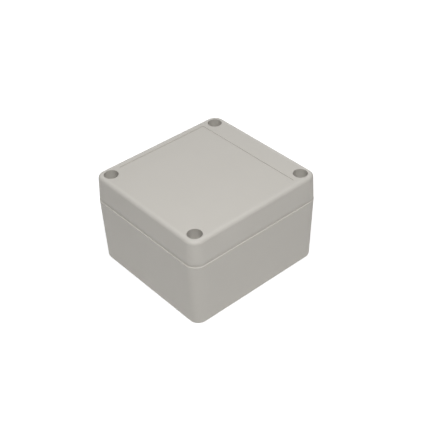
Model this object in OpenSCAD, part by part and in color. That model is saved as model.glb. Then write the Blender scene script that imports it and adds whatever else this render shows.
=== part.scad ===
// Sealed plastic project box with a screw-down lid
// Millimetres, +Z up, origin at the centre of the underside.
// The base is a drafted moulding: a sealed room shaped like a broad cross, and four open
// wells in the corners, outside the seal, for the lid screws and the wall screws. A tongue
// on the rim of the room closes into a grooved channel under the lid, on a rubber gasket.

/* [Box] */
// Outside size along X, at the seam
box_x = 80; // [76:1:120]
// Outside size along Y, at the seam
box_y = 85; // [80:1:140]
// Height of the base, from the underside to its rim
base_h = 40; // [30:0.1:80]
// Height of the lid, from its lower edge to its top
lid_h = 13.4; // [11.5:0.1:30]
// Open seam between the rim of the base and the lower edge of the lid
seam_gap = 0.1; // [0.05:0.05:0.5]

/* [Base moulding] */
// Thickness of the outer walls of the base at its rim
wall = 3; // [2.6:0.1:3.6]
// Thickness of the floor
floor_t = 3; // [2:0.1:5]
// How far the rim stands back from the lid at the seam
rim_step = 0.2; // [0:0.05:0.6]
// Depth of the shoulder that runs round the base below its rim
shoulder_drop = 1.4; // [1:0.1:3]
// How far the shoulder stands out beyond the rim
shoulder_out = 0.5; // [0.4:0.05:1]
// Rounding of the shoulder's edge
shoulder_round = 0.4; // [0.1:0.05:0.4]
// How far each side leans in from the shoulder down to the underside
base_draft = 1.15; // [0.2:0.05:1.2]
// Plan radius of the base's corners, at the shoulder
base_corner_r = 6.8; // [6.4:0.1:7.6]
// Rounding of the edge round the underside
foot_round = 1.6; // [0.4:0.1:2]
// Rounding between the inner walls and the floor
floor_fillet = 0.9; // [0.3:0.1:1.2]

/* [Lid moulding] */
// Thickness of the lid's side walls
lid_wall = 2.6; // [2.2:0.1:2.9]
// Thickness of the lid's top
lid_top_t = 2.8; // [2:0.1:4]
// How far each side of the lid leans in up to its top
lid_draft = 0.7; // [0.2:0.1:1.2]
// Plan radius of the lid's corners, at the seam
lid_corner_r = 6.3; // [5.6:0.1:7]
// Rounding of the edge round the top
top_round = 1.8; // [0.8:0.1:2.4]
// Rounding of the lid's lower edge
skirt_round = 0.1; // [0.1:0.1:0.6]
// Depth of the panel for a label
label_depth = 0.3; // [0.2:0.1:1]
// Side of the lid left beyond the panel, along X
label_margin_x = 4.7; // [3.6:0.1:10]
// End of the lid left beyond the panel, along Y
label_margin_y = 13.6; // [12:0.1:20]
// Plan radius of the panel's corners
label_corner_r = 1; // [0.5:0.1:3]

/* [Seal] */
// Half width of the room's two end bays, along X
bay_half_x = 15; // [8:0.5:15.5]
// Room left between the corner wells and the box's ends, along Y
well_depth = 15; // [14:0.5:18]
// Plan radius where the room's walls turn round a well
turn_r = 6; // [5:0.5:8]
// Thickness of the walls between the room and the wells
well_wall = 2; // [1.6:0.1:2.6]
// Thickness of the tongue on the rim
tongue_t = 1.4; // [1:0.1:1.6]
// Height of the tongue above the rim
tongue_h = 2.8; // [1.5:0.1:4]
// Clearance between the tongue and each side of its groove
tongue_gap = 0.3; // [0.2:0.05:0.4]
// Thickness of the groove's two lips
lip_t = 1.4; // [1:0.1:1.8]
// Height of the gasket in the groove
gasket_h = 1.6; // [1:0.1:2.5]
// Play between the gasket and the groove's sides
gasket_gap = 0.05; // [0.02:0.01:0.1]

/* [Lid screws] */
// Distance of each screw from the lid's sides and ends
screw_inset = 7; // [6.6:0.1:7.6]
// Thread diameter
screw_d = 4; // [3:0.5:4]
// Length under the head
screw_len = 14; // [12:1:16]
// Diameter of the head
head_d = 7; // [6:0.1:7.2]
// Height of the head
head_h = 2.6; // [2:0.1:3]
// Depth of the cross recess in the head
recess_depth = 1.7; // [1:0.1:1.9]
// Diameter of the counterbore that the head sinks into
sink_d = 7.7; // [7.4:0.1:8]
// Thickness of the lid under the screw's head
seat_t = 4.5; // [3:0.1:5.5]
// Wall round the counterbore, inside the lid
sink_wall = 1.6; // [1.2:0.1:2]
// Diameter of the screw's hole through the lid
clear_d = 4.5; // [4.2:0.1:5]
// Diameter of the foot of each lid boss, where it stands on the base
pad_d = 8; // [7:0.1:8.2]

/* [Threaded inserts] */
// Diameter of the brass insert over its knurl
insert_d = 5.7; // [5.4:0.1:6]
// Length of the insert
insert_len = 8; // [6:0.5:10]
// How far the knurl bites into the plastic
knurl_bite = 0.05; // [0.02:0.01:0.1]
// How far the insert lies below the top of its column
insert_drop = 0.2; // [0.1:0.1:0.5]
// Diameter of the column that holds the insert
column_d = 8.4; // [8.4:0.1:9]
// Radial clearance between the screw and the insert
thread_gap = 0.05; // [0.02:0.01:0.1]

/* [Fixings] */
// Distance between the wall screws along X
wall_hole_x = 44; // [42:1:45]
// Distance of the wall screws from the box's ends, along Y
wall_hole_inset = 8; // [7.6:0.1:8.4]
// Diameter of the wall screws' holes
wall_hole_d = 4.3; // [3.5:0.1:5]
// Distance between the board posts along X
post_x = 60; // [40:1:62]
// Distance between the board posts along Y
post_y = 40; // [20:1:44]
// Diameter of a board post
post_d = 6; // [5:0.5:8]
// Height of a board post above the floor
post_h = 5; // [3:0.5:12]
// Diameter of the pilot hole in a board post
pilot_d = 2.5; // [2:0.1:3]
// Plastic left under each pilot hole
pilot_floor = 1.5; // [1:0.1:3]

/* [Hidden] */
$fn = 64;

SHELL_GREY = [0.76, 0.75, 0.72];
RUBBER = [0.13, 0.13, 0.13];
BRASS = [0.78, 0.62, 0.32];
STEEL = [0.72, 0.72, 0.73];

// Overlap that lets a cut run past the face it opens through
past = 1;

// Heights
shoulder_z = base_h - shoulder_drop;
lid_z = base_h + seam_gap;
top_z = lid_z + lid_h;
tongue_z = base_h + tongue_h;
groove_z = tongue_z + gasket_h;
channel_z = groove_z + lip_t;
seat_z = base_h + seat_t;
insert_z = base_h - insert_drop;
tip_z = seat_z - screw_len;
bore_end_z = min(tip_z, insert_z - insert_len) - past;

// The inner face of the base's walls at the rim, which is also the tongue's inner face
room_x = box_x / 2 - rim_step - wall;
room_y = box_y / 2 - rim_step - wall;
bay_y = box_y / 2 - well_depth;

// Centre of the base's back right corner, in plan, and its radius at the rim
base_cx = box_x / 2 - rim_step + shoulder_out - base_corner_r;
base_cy = box_y / 2 - rim_step + shoulder_out - base_corner_r;
rim_r = base_corner_r - shoulder_out;

// The groove in the lid, and the channel that carries it, measured like the tongue
groove_in = -tongue_gap;
groove_out = tongue_t + tongue_gap;
channel_in = groove_in - lip_t;
channel_out = groove_out + lip_t;

screw_x = box_x / 2 - screw_inset;
screw_y = box_y / 2 - screw_inset;
wall_hole_y = box_y / 2 - wall_hole_inset;

// Each corner of the box, as a pair of signs
CORNERS = [[-1, -1], [1, -1], [1, 1], [-1, 1]];

// Half section of a drafted wall, from z0 to z1. Its x is the distance out from the plan's
// corner centres: r0 at the bottom and r1 at the top. Both outer edges may be rounded.
module wall_section(r0, r1, z0, z1, round0 = 0, round1 = 0) {
    lean = atan((r0 - r1) / (z1 - z0));
    c0 = edge_x(r0, r1, z0, z1, z0 + round0) - round0 / cos(lean);
    c1 = edge_x(r0, r1, z0, z1, z1 - round1) - round1 / cos(lean);
    out = [cos(lean), sin(lean)];
    polygon([
        [0, z0], [c0, z0], [c0, z0 + round0] + round0 * out,
        [c1, z1 - round1] + round1 * out, [c1, z1], [0, z1]
    ]);
    if (round0 > 0) edge_round(c0, z0 + round0, round0);
    if (round1 > 0) edge_round(c1, z1 - round1, round1);
}

// The outer half of a disc, which rounds one edge of the section
module edge_round(x, z, r) {
    intersection() {
        translate([x, z]) circle(r);
        translate([x, z - r]) square([r, 2 * r]);
    }
}

// Distance out of a leaning wall at height z
function edge_x(r0, r1, z0, z1, z) = r0 + (r1 - r0) * (z - z0) / (z1 - z0);

// Carries a wall section round a rectangle whose corner centres are at [cx, cy] and fills
// the middle, so that walls stay flat, corners are true cones and roundings are true arcs
module carried_round(cx, cy, z0, z1) {
    translate([-cx, -cy, z0]) cube([2 * cx, 2 * cy, z1 - z0]);
    for (i = [0 : 3]) {
        turned = i % 2 == 1;
        ex = turned ? cy : cx;
        ey = turned ? cx : cy;
        rotate(90 * i) translate([ex, ey, 0]) {
            rotate_extrude(angle = 90) children();
            rotate([90, 0, 0]) linear_extrude(2 * ey) children();
        }
    }
}

// Rectangle with half sizes hx and hy, its corners rounded by r
module round_rect(hx, hy, r) {
    square([2 * (hx - r), 2 * hy], center = true);
    square([2 * hx, 2 * (hy - r)], center = true);
    if (r > 0) for (c = CORNERS) translate([c[0] * (hx - r), c[1] * (hy - r)]) circle(r);
}

// Plan of one corner well, grown inwards by -o, with its inner corner rounded
module well_plan(o) {
    r = turn_r - o;
    reach = box_x + box_y;
    translate([bay_half_x + o, bay_y + o]) {
        translate([r, 0]) square(reach);
        translate([0, r]) square(reach);
        translate([r, r]) circle(r);
    }
}

// Plan of the sealed room at the rim, grown outwards by o
module room_plan(o) {
    difference() {
        union() {
            round_rect(room_x + o, bay_y + turn_r, max(o, 0));
            round_rect(bay_half_x + turn_r, room_y + o, max(o, 0));
        }
        for (c = CORNERS) mirror([c[0] < 0 ? 1 : 0, 0]) mirror([0, c[1] < 0 ? 1 : 0]) well_plan(o);
    }
}

// Band that follows the room's outline from offset a out to offset b
module seal_band(a, b, z0, z1) {
    translate([0, 0, z0]) linear_extrude(z1 - z0) difference() {
        room_plan(b);
        room_plan(a);
    }
}

// Walls that part the room from the four wells
module well_walls(t, z0, z1) {
    at_corners() translate([0, 0, z0]) linear_extrude(z1 - z0) difference() {
        well_plan(0);
        well_plan(t);
    }
}

// Copies a shape drawn in the back right corner to all four corners
module at_corners() {
    for (c = CORNERS) mirror([c[0] < 0 ? 1 : 0, 0, 0]) mirror([0, c[1] < 0 ? 1 : 0, 0]) children();
}

module bore(x, y, d, z0, z1) {
    translate([x, y, z0]) cylinder(d = d, h = z1 - z0);
}

// Base

module base_block() carried_round(base_cx, base_cy, 0, base_h) {
    wall_section(base_corner_r - base_draft, base_corner_r, 0, shoulder_z,
        foot_round, shoulder_round);
    translate([0, shoulder_z - past]) square([rim_r, shoulder_drop + past]);
}

// Everything inside the outer walls, leaning like them and running past the tongue's top
module base_hollow() {
    inner_r = rim_r - wall;
    top = tongue_z + past;
    lean = base_draft / shoulder_z;
    carried_round(base_cx, base_cy, floor_t, top)
        wall_section(inner_r - lean * (base_h - floor_t), inner_r + lean * (top - base_h),
            floor_t, top, floor_fillet);
}

module base() color(SHELL_GREY) difference() {
    union() {
        base_block();
        translate([0, 0, base_h - past]) linear_extrude(tongue_h + past) room_plan(tongue_t);
    }
    difference() {
        base_hollow();
        well_walls(well_wall, 0, tongue_z + 2 * past);
        at_corners() bore(screw_x, screw_y, column_d, 0, base_h);
        at_corners() bore(post_x / 2, post_y / 2, post_d, 0, floor_t + post_h);
    }
    at_corners() {
        bore(screw_x, screw_y, insert_d - 2 * knurl_bite, insert_z - insert_len, base_h + past);
        bore(screw_x, screw_y, screw_d + 2 * tongue_gap, bore_end_z, base_h);
        bore(wall_hole_x / 2, wall_hole_y, wall_hole_d, -past, floor_t + past);
        bore(post_x / 2, post_y / 2, pilot_d, pilot_floor, floor_t + post_h + past);
    }
}

// Lid

module lid_block() {
    cx = box_x / 2 - lid_corner_r;
    cy = box_y / 2 - lid_corner_r;
    carried_round(cx, cy, lid_z, top_z)
        wall_section(lid_corner_r, lid_corner_r - lid_draft, lid_z, top_z, skirt_round, top_round);
}

module lid_hollow() {
    cx = box_x / 2 - lid_corner_r;
    cy = box_y / 2 - lid_corner_r;
    skirt_r = lid_corner_r - lid_wall;
    lean = lid_draft / lid_h;
    roof = top_z - lid_top_t;
    carried_round(cx, cy, lid_z - past, roof)
        wall_section(skirt_r + lean * past, skirt_r - lean * (roof - lid_z), lid_z - past, roof,
            0, floor_fillet);
}

module lid() color(SHELL_GREY) difference() {
    union() {
        difference() {
            lid_block();
            difference() {
                lid_hollow();
                seal_band(channel_in, channel_out, 0, channel_z);
                well_walls(tongue_t, 0, top_z);
                at_corners() bore(screw_x, screw_y, sink_d + 2 * sink_wall, 0, top_z);
            }
        }
        at_corners() bore(screw_x, screw_y, pad_d, base_h, seat_z);
    }
    seal_band(groove_in, groove_out, lid_z - past, groove_z);
    at_corners() {
        bore(screw_x, screw_y, clear_d, base_h - past, seat_z + past);
        bore(screw_x, screw_y, sink_d, seat_z, top_z + past);
    }
    translate([0, 0, top_z - label_depth]) linear_extrude(label_depth + past)
        round_rect(box_x / 2 - label_margin_x, box_y / 2 - label_margin_y, label_corner_r);
}

module gasket() color(RUBBER)
    seal_band(groove_in + gasket_gap, groove_out - gasket_gap, tongue_z, groove_z);

// Lid screws and their inserts, each drawn upright on its own axis

module screw(c) color(STEEL) translate([c[0] * screw_x, c[1] * screw_y, 0]) difference() {
    edge = head_h / 6;
    tip = screw_d / 8;
    union() {
        rotate_extrude() {
            translate([0, seat_z]) square([head_d / 2, head_h - edge]);
            translate([0, seat_z]) square([head_d / 2 - edge, head_h]);
            translate([head_d / 2 - edge, seat_z + head_h - edge]) circle(edge);
        }
        translate([0, 0, tip_z + tip]) cylinder(d = screw_d, h = screw_len - tip);
        translate([0, 0, tip_z]) cylinder(d1 = screw_d - 2 * tip, d2 = screw_d, h = tip);
    }
    // Cross recess: two slots, narrowing towards their bottom
    intersection() {
        for (a = [0, 90]) rotate(a) translate([-head_d / 2, -screw_d / 8, 0])
            cube([head_d, screw_d / 4, top_z]);
        translate([0, 0, seat_z + head_h - recess_depth])
            cylinder(r1 = screw_d / 5, r2 = head_d / 3.2, h = recess_depth + 0.01);
    }
}

module insert(c) color(BRASS) translate([c[0] * screw_x, c[1] * screw_y, 0])
    rotate_extrude() difference() {
        translate([0, insert_z - insert_len]) square([insert_d / 2, insert_len]);
        translate([0, insert_z - insert_len - past])
            square([screw_d / 2 + thread_gap, insert_len + 2 * past]);
        // Waist between the two knurled bands
        translate([insert_d / 2 - 4 * knurl_bite, insert_z - insert_len * 0.58])
            square([past, insert_len * 0.16]);
    }

base();
lid();
gasket();
insert(CORNERS[0]);  // insert_front_left
insert(CORNERS[1]);  // insert_front_right
insert(CORNERS[2]);  // insert_back_right
insert(CORNERS[3]);  // insert_back_left
screw(CORNERS[0]);  // screw_front_left
screw(CORNERS[1]);  // screw_front_right
screw(CORNERS[2]);  // screw_back_right
screw(CORNERS[3]);  // screw_back_left
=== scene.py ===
"""A light grey plastic project box: a deep base and a shallow lid, closed by four sunk screws."""

import math

import bmesh
import bpy
from mathutils import Matrix, Vector


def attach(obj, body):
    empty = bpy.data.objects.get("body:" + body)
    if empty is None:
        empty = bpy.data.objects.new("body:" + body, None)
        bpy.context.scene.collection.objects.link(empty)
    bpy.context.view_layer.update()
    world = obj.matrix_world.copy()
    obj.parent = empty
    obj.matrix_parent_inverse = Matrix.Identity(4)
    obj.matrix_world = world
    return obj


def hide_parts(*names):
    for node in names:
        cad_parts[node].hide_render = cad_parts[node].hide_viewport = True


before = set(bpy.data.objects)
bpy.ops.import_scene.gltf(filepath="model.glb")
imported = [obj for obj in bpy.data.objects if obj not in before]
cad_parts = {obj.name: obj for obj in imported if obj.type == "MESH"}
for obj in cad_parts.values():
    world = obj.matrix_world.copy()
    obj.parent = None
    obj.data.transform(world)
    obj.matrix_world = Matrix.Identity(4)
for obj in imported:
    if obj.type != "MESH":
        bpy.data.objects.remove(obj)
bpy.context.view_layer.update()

MM = 0.001


# Base. The deep half of the box, one injection moulding in light grey ABS. Its mould was
# spark-eroded, which leaves a fine even matt grain outside; the inside was only polished
# and shows the round marks of the ejector pins. The gate was trimmed off underneath.


class Flow:
    """One output of a material's nodes. Arithmetic on it adds Math nodes, and node() any other."""

    def __init__(self, tree, socket=None):
        self.tree = tree
        self.socket = socket

    def node(self, kind, settings=None, sockets=None, out=0):
        made = self.tree.nodes.new("ShaderNode" + kind)
        for name, value in (settings or {}).items():
            setattr(made, name, value)
        for name, value in (sockets or {}).items():
            socket = made.inputs[name]
            if isinstance(value, Flow):
                self.tree.links.new(value.socket, socket)
            elif socket.type == "RGBA":
                socket.default_value = (*value, 1)
            else:
                socket.default_value = value
        return Flow(self.tree, made.outputs[out])

    def math(self, operation, *others):
        return self.node("Math", {"operation": operation}, dict(enumerate((self, *others))))

    def __add__(self, other):
        return self.math("ADD", other)

    def __sub__(self, other):
        return self.math("SUBTRACT", other)

    def __rsub__(self, other):
        return self.node("Math", {"operation": "SUBTRACT"}, {0: other, 1: self})

    def __mul__(self, other):
        return self.math("MULTIPLY", other)

    __radd__ = __add__
    __rmul__ = __mul__

    def between(self, low, high):
        """0 up to low, 1 from high on and a smooth step between them; falling if high is less."""
        return self.node(
            "MapRange",
            {"interpolation_type": "SMOOTHSTEP"},
            {"Value": self, "From Min": low, "From Max": high},
        )

    def blend(self, first, second):
        """Mixes two colours by this value."""
        return self.node("Mix", {"data_type": "RGBA"}, {0: self, 6: first, 7: second}, out=2)


def material(name, **constants):
    """An empty Principled material, its constants set on the shader's own sockets."""
    made = bpy.data.materials.new(name)
    made.use_nodes = True
    shader = made.node_tree.nodes["Principled BSDF"]
    for socket, value in constants.items():
        shader.inputs[socket.replace("_", " ")].default_value = value
    return made, shader, Flow(made.node_tree)


def wire(flow, shader, **sockets):
    """Leads values into the shader's varying sockets."""
    for socket, value in sockets.items():
        flow.tree.links.new(value.socket, shader.inputs[socket.replace("_", " ")])


def place_in_mm(flow):
    """The point on the piece, in millimetres."""
    metres = flow.node("TexCoord", out=3)
    return flow.node("VectorMath", {"operation": "SCALE"}, {0: metres, "Scale": 1 / MM})


def part_of(point, axis):
    """A point's X, Y or Z, for axis 0, 1 or 2."""
    return point.node("SeparateXYZ", {}, {0: point}, out=axis)


def level_length(x, y):
    """The length of a level line that goes this far along X and along Y."""
    return (x * x + y * y).math("SQRT")


def distance(point, spot):
    """How far a point lies from a spot."""
    return point.node("VectorMath", {"operation": "DISTANCE"}, {0: point, 1: spot}, out=1)


def grain(flow, point, size, detail):
    """Noise with features about this many millimetres across, from 0 to 1."""
    return flow.node("TexNoise", {}, {"Vector": point, "Scale": 1 / size, "Detail": detail})


def bump(flow, height, depth, normal=None):
    """Raises the surface by height times depth, in millimetres."""
    sockets = {"Height": height, "Distance": depth * MM}
    if normal:
        sockets["Normal"] = normal
    return flow.node("Bump", {}, sockets)


SHELL_COLOUR = (0.565, 0.543, 0.501)
SHELL_SHADE = (0.545, 0.522, 0.479)
# A paler colour painted on the rounded outer edges as a painted highlight.
SHELL_EDGE_HIGHLIGHT = (0.594, 0.572, 0.530)
SHELL_WITNESS = (0.455, 0.436, 0.398)
SHELL_ROUGHNESS = 0.38

CLOUD_SIZE = 26
PIT_SIZE = 0.32
PIT_DEPTH = 0.016
FINE_SIZE = 0.11
FINE_DEPTH = 0.006

# How far in from the wall and from the flat side the grain ends and is still full.
WALL_GRAIN = (1.3, 1.1)
FACE_GRAIN = (1.2, 1)

# Where the painted highlight on an edge ends and where it is full, in from the wall and away
# from the flat side, in shares of the edge's radius.
HIGHLIGHT_IN = (1.8, 0.7)
HIGHLIGHT_AWAY = (0.5, 0.1)

PIN_RADIUS = 3
PIN_BLUR = 0.05
PIN_LINE = 0.3
PIN_LIP = 0.4
PIN_SINK = 0.6
GATE_EDGE = (2.2, 1.7)
TORN_EDGE = (0.9, 0.6)
TORN_SIZE = 0.3
MARK_DEPTH = 0.15


def shell_plastic(name, corner, foot, rim, face, edge, inner_face, pins, gate):
    """Matt moulded ABS. The outer wall is given by its corner's centre in plan and by its
    corner radius and height at the foot and at the rim; face is the height of the flat
    outer side, which meets the wall in an edge of this radius, painted a little paler as a
    painted highlight. Pins are the places of the ejector pins in one quarter of the inner
    face, mirrored to the others, and gate is the height of the gate's mark in the middle."""
    made, shader, flow = material(name, IOR=1.53, Specular_IOR_Level=0.42)
    point = place_in_mm(flow)
    height = part_of(point, 2)

    over_x = (part_of(point, 0).math("ABSOLUTE") - corner[0]).math("MAXIMUM", 0)
    over_y = (part_of(point, 1).math("ABSOLUTE") - corner[1]).math("MAXIMUM", 0)
    lean = (rim[0] - foot[0]) / (rim[1] - foot[1])
    wall = height * lean + (foot[0] - foot[1] * lean)
    from_wall = wall - level_length(over_x, over_y)
    from_face = (height - face).math("ABSOLUTE")
    outside = from_wall.between(*WALL_GRAIN).math("MAXIMUM", from_face.between(*FACE_GRAIN))
    highlight_in = from_wall.between(*(share * edge for share in HIGHLIGHT_IN))
    highlight_away = from_face.between(*(share * edge for share in HIGHLIGHT_AWAY))

    cloud = grain(flow, point, CLOUD_SIZE, 3)
    pits = grain(flow, point, PIT_SIZE, 2)
    fine = grain(flow, point, FINE_SIZE, 1)
    tone = cloud.between(0.3, 0.7) * 0.5 + pits.between(0.35, 0.65) * 0.5

    folded = flow.node("VectorMath", {"operation": "ABSOLUTE"}, {0: point})
    marks = 0
    polish = 0
    witness = 0
    for spot in pins:
        away = distance(folded, (*spot, inner_face)) + outside
        disc = away.between(PIN_RADIUS + PIN_BLUR, PIN_RADIUS - PIN_BLUR)
        line_inside = away.between(PIN_RADIUS - PIN_LINE, PIN_RADIUS)
        line = line_inside * away.between(PIN_RADIUS + PIN_LINE, PIN_RADIUS)
        marks = marks + line * PIN_LIP - disc * PIN_SINK
        polish = polish + disc
        witness = witness + line
    away = distance(point, (0, 0, gate))
    torn = away.between(*TORN_EDGE) * (grain(flow, point, TORN_SIZE, 3) + 0.5)
    marks = marks + torn - away.between(*GATE_EDGE)

    base_colour = tone.blend(SHELL_SHADE, SHELL_COLOUR)
    # The rounded edge is painted paler here: a painted highlight where light catches the edge.
    base_colour = (highlight_in * highlight_away).blend(base_colour, SHELL_EDGE_HIGHLIGHT)
    grained = bump(flow, pits * outside, PIT_DEPTH, bump(flow, marks, MARK_DEPTH))
    roughness = SHELL_ROUGHNESS + outside * 0.09 + cloud * 0.06
    wire(
        flow,
        shader,
        Base_Color=witness.blend(base_colour, SHELL_WITNESS),
        Roughness=roughness + fine * outside * 0.08 - polish * 0.08,
        Normal=bump(flow, fine * outside, FINE_DEPTH, grained),
    )
    return made


def dress(node, finish):
    """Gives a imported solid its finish."""
    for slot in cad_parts[node].material_slots:
        slot.material = finish


base_plastic = shell_plastic(
    "base_plastic",
    corner=(33.5, 36),
    foot=(5.65, 0),
    rim=(6.8, 38.6),
    face=0,
    edge=1.6,
    inner_face=3,
    pins=[(30, 8), (9, 33), (12, 12)],
    gate=0,
)
dress("base", base_plastic)


# Threaded inserts. Turned from brass bar, with two bands of slanting knurls and a waist
# between them, and pressed hot into the corner columns until each lies just below the
# column's top. An M4 thread runs right through.

THREAD_PITCH = 0.7
SPARE_TURNS = 2
ROUND_STEPS = 72
WELD = 0.001 * MM


def thread_wall(section, low, high, limit):
    """Points and faces of a thread's helix round the Z axis. The section gives one turn as
    shares of the pitch and radii, and limit(radius, way to the nearest end) closes it."""
    rows = len(section)
    turns = math.ceil((high - low) / THREAD_PITCH) + SPARE_TURNS
    points = []
    for step in range((turns + 1) * ROUND_STEPS + 1):
        angle = 2 * math.pi * step / ROUND_STEPS
        for share, radius in section:
            height = low + THREAD_PITCH * (step / ROUND_STEPS + share - SPARE_TURNS)
            height = min(max(height, low), high)
            radius = limit(radius, min(height - low, high - height))
            points.append((radius * math.cos(angle), radius * math.sin(angle), height))
    faces = []
    for step in range(turns * ROUND_STEPS):
        for row in range(rows):
            first = step * rows + row
            above = first + 1 if row + 1 < rows else (step + ROUND_STEPS) * rows
            faces.append((first, first + rows, above + rows, above))
    return points, faces


def ring(radius, height, twist=0.0, notch=0.0):
    """One level circle of points, with every second one set in by notch."""
    made = []
    for step in range(ROUND_STEPS):
        angle = 2 * math.pi * step / ROUND_STEPS + twist
        r = radius - notch * (step % 2)
        made.append((r * math.cos(angle), r * math.sin(angle), height))
    return made


def wall_through(rings, closed=False):
    """Points and faces of a wall through rings that have equally many points."""
    count = len(rings[0])
    points = [point for one in rings for point in one]
    faces = []
    for level in range(len(rings) if closed else len(rings) - 1):
        low = level * count
        high = (level + 1) % len(rings) * count
        for step in range(count):
            after = (step + 1) % count
            faces.append((low + step, low + after, high + after, high + step))
    return points, faces


def joined_mesh(name, parts, sharp):
    """One closed mesh from lists of points and faces in millimetres, welded where they meet
    and shaded smooth, but not over edges sharper than this many degrees."""
    shell = bmesh.new()
    for points, faces in parts:
        corners = [shell.verts.new([value * MM for value in point]) for point in points]
        for face in faces:
            shell.faces.new([corners[number] for number in face])
    bmesh.ops.remove_doubles(shell, verts=shell.verts, dist=WELD)
    bmesh.ops.dissolve_degenerate(shell, edges=shell.edges, dist=WELD)
    bmesh.ops.holes_fill(shell, edges=[edge for edge in shell.edges if edge.is_boundary])
    bmesh.ops.recalc_face_normals(shell, faces=shell.faces)
    mesh = bpy.data.meshes.new(name)
    shell.to_mesh(mesh)
    shell.free()
    mesh.shade_smooth()
    mesh.set_sharp_from_angle(angle=math.radians(sharp))
    return mesh


def stand_in(name, mesh, finish, node, body, place=(0, 0), turn=0.0):
    """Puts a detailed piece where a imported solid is, to be shown instead of it."""
    piece = bpy.data.objects.new(name, mesh)
    piece.location = (place[0] * MM, place[1] * MM, 0)
    piece.rotation_euler.z = math.radians(turn)
    if not mesh.materials:
        mesh.materials.append(finish)
    bpy.context.scene.collection.objects.link(piece)
    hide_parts(node)
    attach(piece, body)


FIXINGS = {
    "front_left": (-33, -35.5),
    "front_right": (33, -35.5),
    "back_right": (33, 35.5),
    "back_left": (-33, 35.5),
}
INSERT_TOP = 39.8
INSERT_FOOT = 31.8
INSERT_EDGE = 2.6
KNURL_RADIUS = 2.85
KNURL_DEPTH = 0.17
KNURL_BAND = 3.1
KNURL_TWIST = 0.2
KNURL_ROWS = 8
KNURL_INSET = 0.25
WAIST_RADIUS = 2.65
WAIST_CHAMFER = 0.2
BORE_SECTION = [(0, 2.05), (0.14, 2.05), (0.45, 2.32), (0.6, 2.32)]
BORE_MOUTH = 2.45

upper_band = INSERT_TOP - KNURL_INSET
lower_band = INSERT_FOOT + KNURL_INSET + KNURL_BAND
outer = [ring(BORE_MOUTH, INSERT_TOP), ring(INSERT_EDGE, INSERT_TOP)]
for band_top, first_twist, way in ((upper_band, 0, 1), (lower_band, KNURL_BAND, -1)):
    for row in range(KNURL_ROWS + 1):
        down = KNURL_BAND * row / KNURL_ROWS
        twist = KNURL_TWIST * (first_twist + way * down)
        outer.append(ring(KNURL_RADIUS, band_top - down, twist, KNURL_DEPTH))
    if way > 0:
        outer.append(ring(WAIST_RADIUS, band_top - KNURL_BAND - WAIST_CHAMFER, twist))
        outer.append(ring(WAIST_RADIUS, lower_band + WAIST_CHAMFER, twist))
outer += [ring(INSERT_EDGE, INSERT_FOOT), ring(BORE_MOUTH, INSERT_FOOT)]
bore = thread_wall(
    BORE_SECTION, INSERT_FOOT, INSERT_TOP, lambda radius, way: max(radius, BORE_MOUTH - way)
)
insert_mesh = joined_mesh("insert", [wall_through(outer), bore], sharp=25)

BRASS_CLEAN = (0.74, 0.56, 0.27)
BRASS_STAINED = (0.58, 0.41, 0.17)
BRASS_STAIN_SIZE = 2.5
TURNING_LINES_PER_MM = 9
TURNING_LINE_DEPTH = 0.015

brass, shader, flow = material("insert_brass", Metallic=1.0)
point = place_in_mm(flow)
stain = grain(flow, point, BRASS_STAIN_SIZE, 4)
radius = level_length(part_of(point, 0), part_of(point, 1))
lines = flow.node(
    "TexNoise",
    {"noise_dimensions": "1D"},
    {"W": radius, "Scale": TURNING_LINES_PER_MM, "Detail": 2},
)
wire(
    flow,
    shader,
    Base_Color=stain.between(0.35, 0.7).blend(BRASS_CLEAN, BRASS_STAINED),
    Roughness=0.24 + stain * 0.2,
    Normal=bump(flow, lines, TURNING_LINE_DEPTH),
)
for corner, place in FIXINGS.items():
    stand_in(
        f"brass_insert_{corner}",
        insert_mesh,
        brass,
        f"insert_{corner}",
        "base",
        place,
    )


# Lid. The shallow half, moulded in the same plastic and spark-eroded like the base, with its
# gate trimmed off inside. A shallow panel for a label is sunk in its top, between the
# counterbores of its screws.

lid_plastic = shell_plastic(
    "lid_plastic",
    corner=(33.7, 36.2),
    foot=(6.3, 40.1),
    rim=(5.6, 53.5),
    face=53.5,
    edge=1.8,
    inner_face=50.7,
    pins=[(28, 18), (9, 31), (10, 10)],
    gate=50.7,
)
dress("lid", lid_plastic)


# Gasket. A black rubber cord, extruded with a softly squared section, cut to length and
# pressed into the groove under the lid, where its bent corners stay a little round.

ROOM = (36.8, 39.3)
BAY = (15, 27.5)
TURN_RADIUS = 6
TURN_STEPS = 14
CORD_OFFSET = 0.7
CORD_BEND = 1
CORD_BEND_STEPS = 6
CORD_HALF_WIDTH = 0.95
CORD_LOW = 42.8
CORD_HIGH = 44.4
CORD_EDGE = 0.45
CORD_EDGE_STEPS = 4


def arc(centre, radius, start, end, steps, inside_out=1):
    """Points on an arc, each with the direction out of the sealed room."""
    made = []
    for step in range(steps + 1):
        angle = math.radians(start + (end - start) * step / steps)
        way = Vector((math.cos(angle), math.sin(angle)))
        made.append((Vector(centre) + radius * way, inside_out * way))
    return made


def cord_bend(x, y):
    """The cord's bend round an outer corner of the sealed room."""
    return arc((x - CORD_BEND, y - CORD_BEND), CORD_BEND, 0, 90, CORD_BEND_STEPS)


side_x = ROOM[0] + CORD_OFFSET
side_y = ROOM[1] + CORD_OFFSET
step_x = BAY[0] + CORD_OFFSET
step_y = BAY[1] + CORD_OFFSET
well = (BAY[0] + TURN_RADIUS, BAY[1] + TURN_RADIUS)
quarter = [
    (Vector((side_x, 0)), Vector((1, 0))),
    *cord_bend(side_x, step_y),
    *arc(well, TURN_RADIUS - CORD_OFFSET, 270, 180, TURN_STEPS, inside_out=-1),
    *cord_bend(step_x, side_y),
    (Vector((0, side_y)), Vector((0, 1))),
]
cord_path = []
for flip_x, flip_y in ((1, 1), (-1, 1), (-1, -1), (1, -1)):
    flip = Vector((flip_x, flip_y))
    part = [(spot * flip, way * flip) for spot, way in quarter]
    if flip_x * flip_y < 0:
        part.reverse()
    cord_path += part[:-1]

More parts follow.
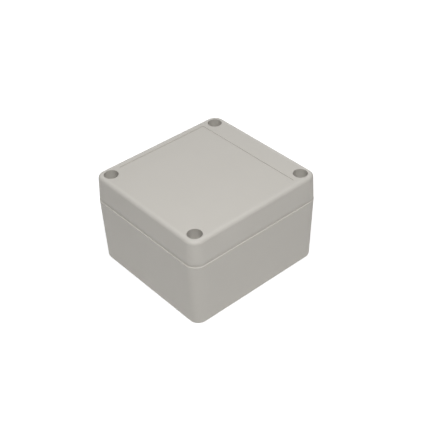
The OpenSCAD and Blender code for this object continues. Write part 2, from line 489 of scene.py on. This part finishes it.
cord_section = []
for across, up, start in ((1, 1, 0), (-1, 1, 90), (-1, -1, 180), (1, -1, 270)):
    side = across * (CORD_HALF_WIDTH - CORD_EDGE)
    middle = CORD_HIGH - CORD_EDGE if up > 0 else CORD_LOW + CORD_EDGE
    for step in range(CORD_EDGE_STEPS + 1):
        angle = math.radians(start + 90 * step / CORD_EDGE_STEPS)
        cord_section.append(
            (side + CORD_EDGE * math.cos(angle), middle + CORD_EDGE * math.sin(angle))
        )
cord_rings = [
    [(*(spot + way * across), height) for across, height in cord_section] for spot, way in cord_path
]
gasket_mesh = joined_mesh("gasket_cord", [wall_through(cord_rings, closed=True)], sharp=60)

RUBBER_BLACK = (0.016, 0.016, 0.017)
RUBBER_BLOOM = (0.048, 0.047, 0.045)
RUBBER_SKIN_SIZE = 0.25
RUBBER_SKIN_DEPTH = 0.02
RUBBER_BLOOM_SIZE = 6

rubber, shader, flow = material("gasket_rubber", IOR=1.5)
point = place_in_mm(flow)
skin = grain(flow, point, RUBBER_SKIN_SIZE, 3)
bloom = grain(flow, point, RUBBER_BLOOM_SIZE, 3)
wire(
    flow,
    shader,
    Base_Color=(skin * 0.5 + bloom * 0.5).blend(RUBBER_BLACK, RUBBER_BLOOM),
    Roughness=0.58 + skin * 0.24,
    Normal=bump(flow, skin, RUBBER_SKIN_DEPTH),
)
stand_in("rubber_gasket", gasket_mesh, rubber, "gasket", "lid")


# Lid screws. M4 steel screws with a raised cheese head and a cross recess, cold headed,
# thread rolled and zinc plated. They sink in the lid's counterbores, turned as they came.

SCREW_TIP = 30.5
SCREW_SEAT = 44.5
SHANK_SECTION = [(0, 1.6), (0.2, 1.6), (0.52, 1.98), (0.66, 1.98)]
SHANK_END = 1.5
SHANK_IN_HEAD = 0.3
HEAD_PROFILE = [
    (1.2, 44.5), (3.38, 44.5), (3.47, 44.54), (3.5, 44.63), (3.5, 46.25), (3.46, 46.5),
    (3.33, 46.72), (3.1, 46.88), (2.7, 47.0), (2, 47.07), (1, 47.1),
]
RECESS_LEVELS = [(2.15, 0.46, 47.4), (2.0, 0.43, 47.1), (1.15, 0.34, 45.75), (0.4, 0.3, 45.35)]
SCREW_TURNS = {"front_left": 17, "front_right": 62, "back_right": 38, "back_left": 80}

head = joined_mesh("screw_head", [wall_through([ring(*level) for level in HEAD_PROFILE])], sharp=35)
cross_rings = []
for arm, half, height in RECESS_LEVELS:
    outline = []
    for quarter_turn in range(4):
        turned = Matrix.Rotation(math.radians(90 * quarter_turn), 2)
        for corner in ((arm, -half), (arm, half), (half, half)):
            outline.append((*(turned @ Vector(corner)), height))
    cross_rings.append(outline)
punch = joined_mesh("recess_punch", [wall_through(cross_rings)], sharp=35)

blank = bpy.data.objects.new("blank", head)
tool = bpy.data.objects.new("punch", punch)
for piece in (blank, tool):
    bpy.context.scene.collection.objects.link(piece)
stamping = blank.modifiers.new("recess", "BOOLEAN")
stamping.operation = "DIFFERENCE"
stamping.object = tool
bpy.context.view_layer.update()
stamped = bpy.data.meshes.new_from_object(
    blank.evaluated_get(bpy.context.evaluated_depsgraph_get())
)
for piece in (blank, tool):
    bpy.data.objects.remove(piece)

thread = thread_wall(
    SHANK_SECTION,
    SCREW_TIP,
    SCREW_SEAT + SHANK_IN_HEAD,
    lambda radius, way: min(radius, SHANK_END + way),
)
whole = bmesh.new()
whole.from_mesh(stamped)
whole.from_mesh(joined_mesh("screw_shank", [thread], sharp=25))
screw_mesh = bpy.data.meshes.new("screw")
whole.to_mesh(screw_mesh)
whole.free()
screw_mesh.shade_smooth()
screw_mesh.set_sharp_from_angle(angle=math.radians(28))

ZINC_BRIGHT = (0.62, 0.62, 0.61)
ZINC_DULL = (0.50, 0.50, 0.51)
ZINC_STAIN_SIZE = 1.6
ZINC_SPOT_SIZE = 0.12
ZINC_SPOT_DEPTH = 0.006

steel, shader, flow = material("screw_steel", Metallic=1.0)
point = place_in_mm(flow)
stain = grain(flow, point, ZINC_STAIN_SIZE, 4)
spots = grain(flow, point, ZINC_SPOT_SIZE, 2)
wire(
    flow,
    shader,
    Base_Color=stain.between(0.35, 0.7).blend(ZINC_BRIGHT, ZINC_DULL),
    Roughness=0.26 + stain * 0.14 + spots * 0.06,
    Normal=bump(flow, spots, ZINC_SPOT_DEPTH),
)
for corner, place in FIXINGS.items():
    stand_in(
        f"lid_screw_{corner}",
        screw_mesh,
        steel,
        f"screw_{corner}",
        f"screw_{corner}",
        place,
        SCREW_TURNS[corner],
    )


# Floor and light. A white sweep under three soft boxes that hang close over the camera's
# side and a weaker one behind, with an even pale room round it. Seen by the camera or
# mirrored in metal, sweep and room are white, and the sweep keeps the box's soft shadow.

FLOOR_REACH = 3.0
GLOW_NEAR = 0.6
GLOW_FAR = 0.84
GLOW_RISE = (120, 700)

floor_mesh = bpy.data.meshes.new("floor")
floor_corners = ((-1, -1), (1, -1), (1, 1), (-1, 1))
floor_mesh.from_pydata(
    [(x * FLOOR_REACH, y * FLOOR_REACH, 0) for x, y in floor_corners], [], [(0, 1, 2, 3)]
)
floor = bpy.data.objects.new("floor", floor_mesh)
bpy.context.scene.collection.objects.link(floor)


def seen_or_mirrored(flow):
    """1 on a ray from the camera or off a glossy surface."""
    return flow.node("LightPath", out=0).math("MAXIMUM", flow.node("LightPath", out=3))


paper, shader, flow = material(
    "floor_paper", Base_Color=(0.85, 0.85, 0.85, 1), Roughness=0.9, Emission_Strength=1
)
point = place_in_mm(flow)
away = level_length(part_of(point, 0), part_of(point, 1))
glow = away.between(*GLOW_RISE).blend((GLOW_NEAR,) * 3, (GLOW_FAR,) * 3)
wire(flow, shader, Emission_Color=seen_or_mirrored(flow).blend((0, 0, 0), glow))
floor_mesh.materials.append(paper)

ROOM_LIGHT = 0.16
world = bpy.data.worlds.new("room")
bpy.context.scene.world = world
world.use_nodes = True
room = Flow(world.node_tree)
background = world.node_tree.nodes["Background"]
background.inputs["Color"].default_value = (1, 1, 1, 1)
brightness = seen_or_mirrored(room) * (1 - ROOM_LIGHT) + ROOM_LIGHT
world.node_tree.links.new(brightness.socket, background.inputs["Strength"])

# Each soft box by its place and width in metres and its power in watts.
SOFT_BOXES = {
    "box_near": ((0.14, -0.19, 0.44), 0.14, 0.78),
    "box_over": ((0.20, -0.10, 0.46), 0.14, 0.67),
    "box_right": ((0.42, -0.04, 0.33), 0.20, 0.18),
    "box_behind": ((-0.34, 0.36, 0.34), 0.45, 0.65),
}
LIGHT_AIM = Vector((0, 0, 0.04))

for name, (spot, width, power) in SOFT_BOXES.items():
    light = bpy.data.lights.new(name, "AREA")
    light.size = width
    light.energy = power
    lamp = bpy.data.objects.new(name, light)
    lamp.location = spot
    lamp.rotation_mode = "QUATERNION"
    lamp.rotation_quaternion = (Vector(spot) - LIGHT_AIM).to_track_quat("Z", "Y")
    bpy.context.scene.collection.objects.link(lamp)


# Camera, where the photograph was taken from: turned a little past the box's corner and
# looking down on it, with a slight roll.

CAMERA_TURN = math.radians(49.08)
CAMERA_RISE = math.radians(38.68)
CAMERA_ROLL = math.radians(-1.50)
CAMERA_DISTANCE = 478.2 * MM
CAMERA_AIM = Vector((0, 0, 28 * MM))
FRAME_SHIFT = (-7.91 * MM, 4.73 * MM)
FOCAL_WIDTHS = 902.7 / 444
SENSOR_WIDTH = 36

back = Vector(
    (
        math.sin(CAMERA_TURN) * math.cos(CAMERA_RISE),
        -math.cos(CAMERA_TURN) * math.cos(CAMERA_RISE),
        math.sin(CAMERA_RISE),
    )
)
level = Vector((math.cos(CAMERA_TURN), math.sin(CAMERA_TURN), 0))
upward = back.cross(level)
side = level * math.cos(CAMERA_ROLL) + upward * math.sin(CAMERA_ROLL)
rise = upward * math.cos(CAMERA_ROLL) - level * math.sin(CAMERA_ROLL)
camera = bpy.data.objects.new("camera", bpy.data.cameras.new("camera"))
bpy.context.scene.collection.objects.link(camera)
camera.data.sensor_width = SENSOR_WIDTH
camera.data.lens = SENSOR_WIDTH * FOCAL_WIDTHS
place = CAMERA_AIM + back * CAMERA_DISTANCE - side * FRAME_SHIFT[0] - rise * FRAME_SHIFT[1]
camera.matrix_world = Matrix.Translation(place) @ Matrix((side, rise, back)).transposed().to_4x4()
bpy.context.scene.camera = camera
bpy.context.scene.view_settings.view_transform = "Standard"
